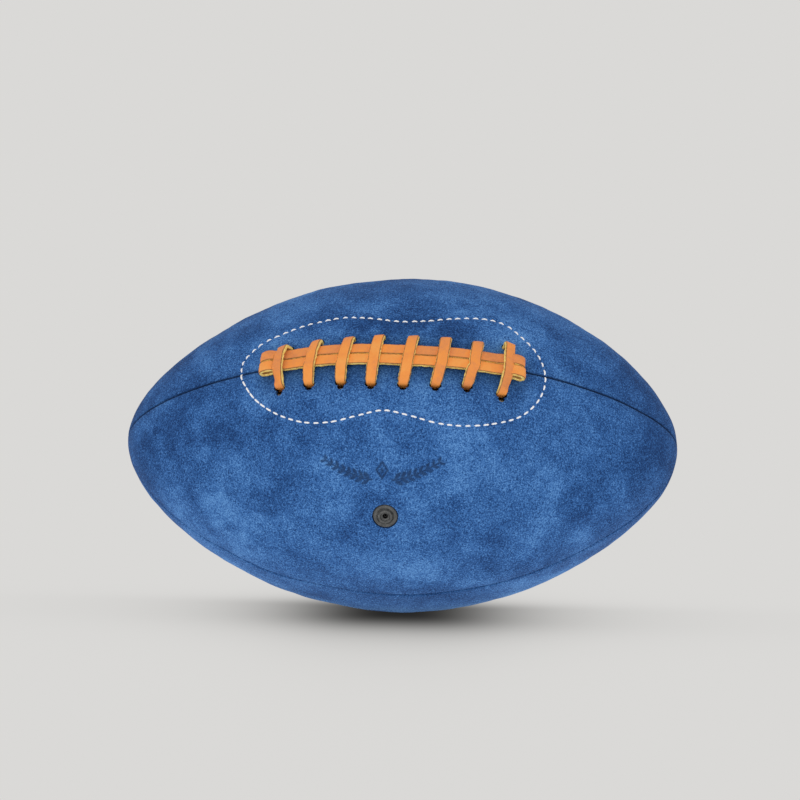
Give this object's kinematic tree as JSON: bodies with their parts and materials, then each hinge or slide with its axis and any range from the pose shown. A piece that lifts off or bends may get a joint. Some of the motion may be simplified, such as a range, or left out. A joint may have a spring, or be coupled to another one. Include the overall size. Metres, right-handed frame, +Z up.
{
  "type": "laced rugby ball",
  "caption": "Laced suede rugby ball: a pointed oval of four panels over cloth linings and a rubber bladder, with a tan leather lace and a flush valve.",
  "frame": {"origin": "middle of the ball, on its long axis", "axes": "+X along the long axis, +Z up, and the lacing and the valve face -Y"},
  "size_m": [0.298, 0.1804, 0.1804],
  "materials": {
    "suede": "napped blue suede",
    "lining": "plain woven cotton",
    "facing": "undyed split leather",
    "lace": "smooth tan leather",
    "thread": "white waxed thread",
    "bladder": "matt black rubber",
    "valve": "matt grey rubber"
  },
  "bodies": {
    "root": {"top_panel": "suede", "rear_panel": "suede", "base_panel": "suede", "front_panel": "suede", "top_lining": "lining", "rear_lining": "lining", "base_lining": "lining", "front_lining": "lining", "upper_lace_facing": "facing", "lower_lace_facing": "facing", "lace_tongue": "facing", "cross_lace": "lace", "upper_lace_strip": "lace", "lower_lace_strip": "lace", "upper_facing_thread": "thread", "lower_facing_thread": "thread", "lace_seam_thread_left": "thread", "lace_seam_thread_right": "thread", "upper_rear_seam_thread": "thread", "lower_rear_seam_thread": "thread", "base_seam_thread": "thread", "bladder": "bladder", "valve_housing": "valve", "valve_core": "bladder"}
  },
  "joints": []
}
